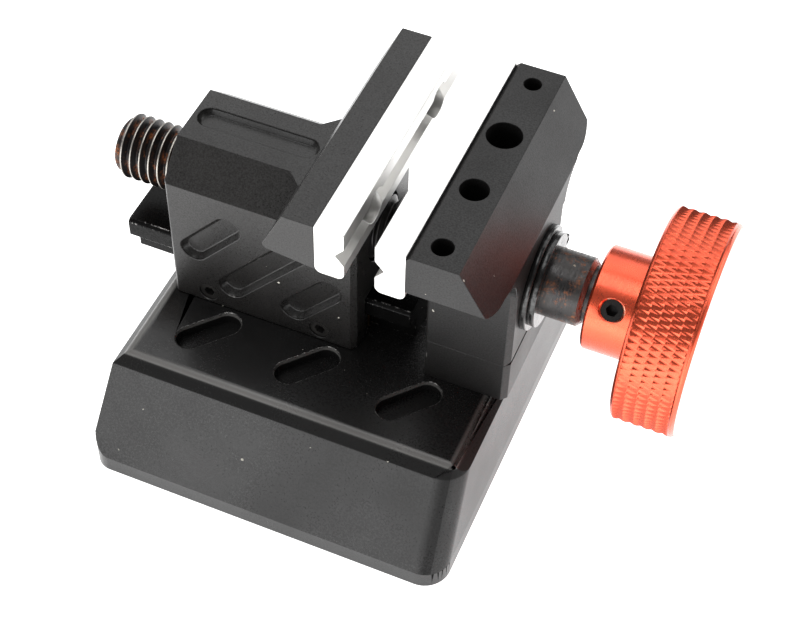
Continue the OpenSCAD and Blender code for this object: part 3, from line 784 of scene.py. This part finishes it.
@dataclass
class LeadScrew:
    """The lead screw, with a real helical thread and a plain shank."""

    shop: Workshop
    pitch: float = 1.5 * MM
    crest_r: float = 4.86 * MM
    shank_r: float = 4.98 * MM
    depth: float = 0.88 * MM
    crest_flat: float = 0.2 * MM
    root_flat: float = 0.26 * MM
    crest_drop: float = 0.02 * MM
    root_rise: float = 0.05 * MM
    per_turn: int = 48
    thread_end: float = 12.2 * MM
    run_out: float = 1.8 * MM
    tip_chamfer: float = 1.0 * MM
    groove_depth: float = 0.3 * MM
    spigot_r: float = 4.0 * MM
    shank_chamfer: float = 0.6 * MM
    shank_end: float = 36.0 * MM
    shank_from: float = 0.5 * MM
    smooth: float = 24.0
    axis: Vector = field(default_factory=lambda: Vector((0, 0, AXIS_Z)))

    def _thread(self, low: float) -> bmesh.types.BMesh:
        """Winds one pitch of the profile up the screw.

        Args:
            low: Where the screw's tip is along X.

        Returns:
            The open helical surface, round the X axis.
        """
        bm = bmesh.new()
        half_crest, half_root = self.crest_flat / 2, self.root_flat / 2
        root = self.crest_r - self.depth
        shoulder, corner = self.crest_r - self.crest_drop, root + self.root_rise
        profile = ((0.0, self.crest_r), (half_crest, shoulder), (self.pitch / 2 - half_root, corner),
                   (self.pitch / 2, root), (self.pitch / 2 + half_root, corner),
                   (self.pitch - half_crest, shoulder), (self.pitch, self.crest_r))
        start = low - 1.5 * self.pitch
        verts = [bm.verts.new((start + x, r, 0.0)) for x, r in profile]
        edges = [bm.edges.new(pair) for pair in zip(verts, verts[1:])]
        turns = math.ceil((self.thread_end - start) / self.pitch) + 1
        bmesh.ops.spin(bm, geom=verts + edges, cent=(0, 0, 0), axis=(1, 0, 0),
                       dvec=(self.pitch / self.per_turn, 0, 0), angle=math.tau * turns,
                       steps=turns * self.per_turn, use_merge=False, use_normal_flip=False)
        bmesh.ops.remove_doubles(bm, verts=bm.verts, dist=MERGE)
        return bm

    def _cut(self, bm: bmesh.types.BMesh, x: float, keep_above: bool) -> list[bmesh.types.BMEdge]:
        """Cuts the thread square and returns the cut's edges.

        Args:
            bm: The thread.
            x: Where to cut.
            keep_above: Whether the side towards +X stays.

        Returns:
            The edges round the cut.
        """
        bmesh.ops.bisect_plane(bm, geom=bm.verts[:] + bm.edges[:] + bm.faces[:], dist=HAIR,
                               plane_co=(x, 0, 0), plane_no=(1, 0, 0),
                               clear_outer=not keep_above, clear_inner=keep_above)
        return [e for e in bm.edges if e.is_boundary and all(abs(v.co.x - x) < 5 * HAIR for v in e.verts)]

    def build(self) -> bpy.types.Object:
        """Builds the screw.

        Returns:
            The piece.
        """
        low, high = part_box("lead_screw")
        bm = self._thread(low.x)
        self._cut(bm, low.x, True)
        self._cut(bm, self.thread_end, False)
        for v in bm.verts:
            flat = Vector((0, v.co.y, v.co.z))
            reach = flat.length
            fade = min(max((v.co.x - self.thread_end + self.run_out) / self.run_out, 0.0), 1.0)
            wanted = reach + (self.shank_r - reach) * fade * fade * (3 - 2 * fade)
            wanted = min(wanted, self.crest_r - self.tip_chamfer + (v.co.x - low.x))
            v.co = Vector((v.co.x, 0, 0)) + flat * (wanted / reach)
        open_edges = [e for e in bm.edges if e.is_boundary]
        tip = [e for e in open_edges if e.verts[0].co.x < 0]
        bmesh.ops.holes_fill(bm, edges=tip, sides=0)
        ring_in, ring_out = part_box("inner_retaining_ring"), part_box("outer_retaining_ring")
        groove = self.shank_r - self.groove_depth
        steps = [(ring_in[0].x, self.shank_r), (ring_in[0].x, groove), (ring_in[1].x, groove),
                 (ring_in[1].x, self.shank_r), (ring_out[0].x, self.shank_r), (ring_out[0].x, groove),
                 (ring_out[1].x, groove), (ring_out[1].x, self.shank_r),
                 (self.shank_end - self.shank_chamfer, self.shank_r),
                 (self.shank_end, self.shank_r - self.shank_chamfer), (self.shank_end, self.spigot_r),
                 (high.x, self.spigot_r)]
        loop = [e for e in open_edges if e.verts[0].co.x > 0]
        for x, r in steps:
            made = bmesh.ops.extrude_edge_only(bm, edges=loop)["geom"]
            for v in (g for g in made if isinstance(g, bmesh.types.BMVert)):
                flat = Vector((0, v.co.y, v.co.z)).normalized() * r
                v.co = Vector((x, flat.y, flat.z))
            loop = [g for g in made if isinstance(g, bmesh.types.BMEdge)]
        bmesh.ops.holes_fill(bm, edges=loop, sides=0)
        bmesh.ops.translate(bm, verts=bm.verts, vec=self.axis)
        bmesh.ops.recalc_face_normals(bm, faces=bm.faces)
        worn = bm.faces.layers.float.new("edge")
        for face in bm.faces:
            if self.shank_end - self.shank_chamfer < face.calc_center_median().x < self.shank_end:
                face[worn] = 1.0
        piece = self.shop.finish(bm, "screw_threaded", Body.SCREW, Slot.STEEL, THREAD_STEEL,
                                 ("lead_screw",), smooth=self.smooth)
        piece.data.materials.append(self.shop.material(SHANK_STEEL))
        for face in piece.data.polygons:
            if face.center.x > self.thread_end + self.shank_from:
                face.material_index = 1
        return piece


@dataclass
class Knob:
    """The knurled knob on the screw."""

    shop: Workshop
    teeth: int = 94
    knurl_angle: float = 18.0
    rise: float = 0.42 * MM
    slope: float = 0.42 * MM
    border_in: float = 0.1 * MM
    border_out: float = 0.4 * MM
    step: float = 0.01 * MM
    wall_depth: float = 0.36 * MM
    seat_depth: float = 0.46 * MM
    disc_skin: float = 0.3 * MM
    edge_round: float = 0.04 * MM
    hub_skin_r: float = 6.5 * MM
    sink_r: float = 2.4 * MM
    sink_slope: float = 0.93
    smooth: float = 30.0
    axis: Vector = field(default_factory=lambda: Vector((0, 0, AXIS_Z)))

    def _knurl(self, bm: bmesh.types.BMesh, radius: float, low: float, high: float) -> None:
        """Adds the ring of raised diamonds.

        Args:
            bm: The mesh that it joins, round the X axis.
            radius: Radius of the tops of the diamonds.
            low: Where the ring starts along X.
            high: Where it ends.
        """
        ring = bmesh.new()
        half_step = math.pi / self.teeth
        groove = radius - self.rise
        wall = groove - self.wall_depth
        reach = groove * half_step / math.tan(math.radians(self.knurl_angle))
        corner = (groove * math.cos(half_step), groove * math.sin(half_step))
        verts = [ring.verts.new(p) for p in (
            (-reach, groove, 0), (0, corner[0], corner[1]), (reach, groove, 0),
            (0, corner[0], -corner[1]))]
        ring.faces.new(verts)
        bmesh.ops.spin(ring, geom=ring.verts[:] + ring.edges[:] + ring.faces[:], cent=(0, 0, 0),
                       axis=(1, 0, 0), dvec=(0, 0, 0), steps=self.teeth - 1,
                       angle=math.tau * (self.teeth - 1) / self.teeth, use_merge=False,
                       use_normal_flip=False, use_duplicate=True)
        first = ring.verts[:] + ring.edges[:] + ring.faces[:]
        rows = math.ceil((high - low) / reach) + 3
        for row in range(1, rows):
            made = bmesh.ops.duplicate(ring, geom=first)["geom"]
            moved = [g for g in made if isinstance(g, bmesh.types.BMVert)]
            turn = Matrix.Rotation(half_step * row, 3, "X")
            bmesh.ops.rotate(ring, verts=moved, cent=(0, 0, 0), matrix=turn)
            bmesh.ops.translate(ring, verts=moved, vec=(reach * row, 0, 0))
        bmesh.ops.remove_doubles(ring, verts=ring.verts, dist=CLOSE)
        bmesh.ops.translate(ring, verts=ring.verts, vec=(low - reach, 0, 0))
        ring.normal_update()
        inward = [f for f in ring.faces if f.normal.dot(Vector((0, f.calc_center_median().y,
                                                               f.calc_center_median().z))) < 0]
        bmesh.ops.reverse_faces(ring, faces=inward)
        bmesh.ops.inset_individual(ring, faces=ring.faces[:], thickness=self.slope, depth=self.rise,
                                   use_even_offset=True)
        for x, above in ((low, True), (high, False)):
            bmesh.ops.bisect_plane(ring, geom=ring.verts[:] + ring.edges[:] + ring.faces[:], dist=HAIR,
                                   plane_co=(x, 0, 0), plane_no=(1, 0, 0), clear_outer=not above,
                                   clear_inner=above)
        open_edges = [e for e in ring.edges if e.is_boundary]
        made = bmesh.ops.extrude_edge_only(ring, edges=open_edges)["geom"]
        for v in (g for g in made if isinstance(g, bmesh.types.BMVert)):
            flat = Vector((0, v.co.y, v.co.z)).normalized() * wall
            v.co = Vector((v.co.x, flat.y, flat.z))
        bmesh.ops.bridge_loops(ring, edges=[g for g in made if isinstance(g, bmesh.types.BMEdge)])
        bmesh.ops.recalc_face_normals(ring, faces=ring.faces)
        mesh = bpy.data.meshes.new("knurl ring")
        ring.to_mesh(mesh)
        ring.free()
        bm.from_mesh(mesh)
        bpy.data.meshes.remove(mesh)

    def _mark_countersink(self, bm: bmesh.types.BMesh) -> None:
        """Marks the rim round the set screw as worn.

        Args:
            bm: The knob, round the X axis.
        """
        worn = bm.faces.layers.float["edge"]
        low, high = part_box("knob_set_screw")
        centre = (low + high) / 2 - self.axis
        out = Vector((0, centre.y, centre.z)).normalized()
        for face in bm.faces:
            place = face.calc_center_median() - Vector((centre.x, 0, 0))
            height = place.dot(out)
            aside = (place - out * height).length
            if height > self.hub_skin_r and aside < self.sink_r and face.normal.dot(out) < self.sink_slope:
                face[worn] = 1.0

    def build(self) -> bpy.types.Object:
        """Builds the knob.

        Returns:
            The piece.
        """
        bm = self.shop.copy_of("knob")
        bmesh.ops.translate(bm, verts=bm.verts, vec=-self.axis)
        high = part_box("knob")[1]
        disc = [v.co.x for v in bm.verts if Vector((0, v.co.y, v.co.z)).length > high.y - NEAR]
        start, end = min(disc) + self.border_in, max(disc) - self.border_out
        for x in (start, start + self.step, end - self.step, end):
            bmesh.ops.bisect_plane(bm, geom=bm.verts[:] + bm.edges[:] + bm.faces[:], dist=HAIR,
                                   plane_co=(x, 0, 0), plane_no=(1, 0, 0))
        for v in bm.verts:
            flat = Vector((0, v.co.y, v.co.z))
            in_band = start + self.step / 2 < v.co.x < end - self.step / 2
            if in_band and flat.length > high.y - self.disc_skin:
                flat *= (high.y - self.rise - self.seat_depth) / flat.length
                v.co = Vector((v.co.x, flat.y, flat.z))
        bm.normal_update()
        self.shop.break_edges(bm, self.edge_round, least=25.0, only=lambda e: not any(
            start - NEAR < v.co.x < end + NEAR for v in e.verts), mark=False)
        self._mark_countersink(bm)
        self._knurl(bm, high.y, start + self.step, end - self.step)
        bmesh.ops.translate(bm, verts=bm.verts, vec=self.axis)
        piece = self.shop.finish(bm, "knob_knurled", Body.SCREW, Slot.RED, RED_ANODISED, ("knob",),
                                 smooth=self.smooth)
        # The flat end face gets the lighter red copy: a painted highlight.
        piece.data.materials.append(self.shop.material(RED_LIT_FACE))
        for face in piece.data.polygons:
            if face.normal.x > 0.99 and face.center.x > high.x - CLOSE:
                face.material_index = 1
        return piece


@dataclass
class ScrewAssembly:
    """Everything that turns: screw, washers, rings, knob and its set screw."""

    shop: Workshop
    edge_round: float = 0.12 * MM

    def build(self) -> None:
        """Builds and dresses the whole sub-assembly."""
        LeadScrew(self.shop).build()
        Knob(self.shop).build()
        for node, name in (("thrust_washer", "washer_outer"), ("outer_retaining_ring", "ring_outer"),
                           ("inner_washer", "washer_inner"), ("inner_retaining_ring", "ring_inner")):
            bm = self.shop.copy_of(node)
            self.shop.break_edges(bm, self.edge_round, least=40.0)
            self.shop.finish(bm, name, Body.SCREW, Slot.STEEL, OILY_BLACK, (node,))
        self.shop.dress("knob_set_screw", BLACK_SCREW)


# ---- The studio ----


@dataclass
class SoftBox:
    """One soft area light, aimed at the vice."""

    name: str
    towards: tuple[float, float, float]
    distance: float
    size: tuple[float, float]
    brightness: float

    def build(self, aim: Vector) -> bpy.types.Object:
        """Hangs the light.

        Args:
            aim: The point that it faces.

        Returns:
            The light.
        """
        light = bpy.data.lights.new(self.name, "AREA")
        light.shape = "RECTANGLE"
        light.size, light.size_y = self.size
        light.energy = self.brightness * math.pi * self.size[0] * self.size[1]
        piece = bpy.data.objects.new(self.name, light)
        bpy.context.scene.collection.objects.link(piece)
        towards = Vector(self.towards).normalized()
        piece.location = aim + towards * self.distance
        piece.rotation_euler = towards.to_track_quat("Z", "Y").to_euler()
        return piece


@dataclass
class Studio:
    """The floor, the soft light and the camera."""

    aim: Vector = field(default_factory=lambda: Vector((6.09, 4.26, 12.09)) * MM)
    eye: Vector = field(default_factory=lambda: Vector((69.03, -154.11, 215.03)) * MM)
    roll: float = 1.68
    lens: float = 77.69
    floor_size: float = 3.0
    floor_drop: float = 0.02 * MM
    glow_from: float = -0.14
    glow_to: float = -0.03
    glow_near: float = 2.6
    glow_far: float = 1.1
    sky: float = 0.22

    def camera(self) -> None:
        """Sets the camera."""
        data = bpy.data.cameras.new("camera")
        data.lens = self.lens
        data.clip_start, data.clip_end = 0.01, 20.0
        camera = bpy.data.objects.new("camera", data)
        bpy.context.scene.collection.objects.link(camera)
        ahead = (self.aim - self.eye).normalized()
        side = ahead.cross(Vector((0, 0, 1))).normalized()
        up = side.cross(ahead)
        turn = math.radians(self.roll)
        right = side * math.cos(turn) + up * math.sin(turn)
        top = up * math.cos(turn) - side * math.sin(turn)
        camera.matrix_world = Matrix.Translation(self.eye) @ Matrix(
            (right, top, -ahead)).transposed().to_4x4()
        bpy.context.scene.camera = camera

    def floor(self) -> None:
        """Lays the pale floor."""
        bm = bmesh.new()
        bmesh.ops.create_grid(bm, x_segments=1, y_segments=1, size=self.floor_size)
        bmesh.ops.translate(bm, verts=bm.verts, vec=(0, 0, -self.floor_drop))
        mesh = bpy.data.meshes.new("floor")
        bm.to_mesh(mesh)
        bm.free()
        floor = bpy.data.objects.new("floor", mesh)
        bpy.context.scene.collection.objects.link(floor)
        material = bpy.data.materials.new("pale floor")
        material.use_nodes = True
        shader = next(n for n in material.node_tree.nodes if n.type == "BSDF_PRINCIPLED")
        shader.inputs["Base Color"].default_value = (0.9, 0.9, 0.9, 1)
        shader.inputs["Roughness"].default_value = 0.7
        shader.inputs["Specular IOR Level"].default_value = 0.2
        shader.inputs["Emission Color"].default_value = (1, 1, 1, 1)
        g = Graph(material.node_tree)
        place = g.add("ShaderNodeTexCoord").outputs["Object"]
        across = g.add("ShaderNodeSeparateXYZ", {0: place}).outputs[1]
        glow = g.remap(across, self.glow_from, self.glow_to, self.glow_near, self.glow_far)
        material.node_tree.links.new(glow, shader.inputs["Emission Strength"])
        mesh.materials.append(material)

    def light(self) -> None:
        """Hangs the soft boxes and sets the room's light."""
        world = bpy.data.worlds.new("room")
        bpy.context.scene.world = world
        world.use_nodes = True
        back = next(n for n in world.node_tree.nodes if n.type == "BACKGROUND")
        back.inputs["Color"].default_value = (1, 1, 1, 1)
        back.inputs["Strength"].default_value = self.sky
        for box in (SoftBox("soft box above", (-0.24, 0.6, 0.77), 0.9, (0.9, 0.7), 1.4),
                    SoftBox("soft box overhead", (-0.22, -0.06, 0.97), 0.9, (0.5, 0.4), 2.6),
                    SoftBox("soft box front", (-0.3, -0.95, 0.25), 0.9, (0.8, 0.36), 2.4),
                    SoftBox("soft box left", (-1.0, 0.1, 0.45), 0.9, (0.6, 0.5), 1.4),
                    SoftBox("soft box right", (0.95, 0.5, 0.5), 0.9, (0.6, 0.6), 2.0)):
            box.build(self.aim)

    def build(self) -> None:
        """Sets the whole studio up."""
        bpy.context.scene.view_settings.view_transform = "Standard"
        self.camera()
        self.floor()
        self.light()


def main() -> None:
    """Builds the studio and the three sub-assemblies."""
    logging.basicConfig(level=logging.INFO, format="%(message)s")
    Studio().build()
    shop = Workshop(Effects())
    for part in (BaseAssembly(shop), MovingJawAssembly(shop), ScrewAssembly(shop)):
        part.build()
        LOG.info("%s is done", type(part).__name__)


if __name__ == "__main__":
    main()
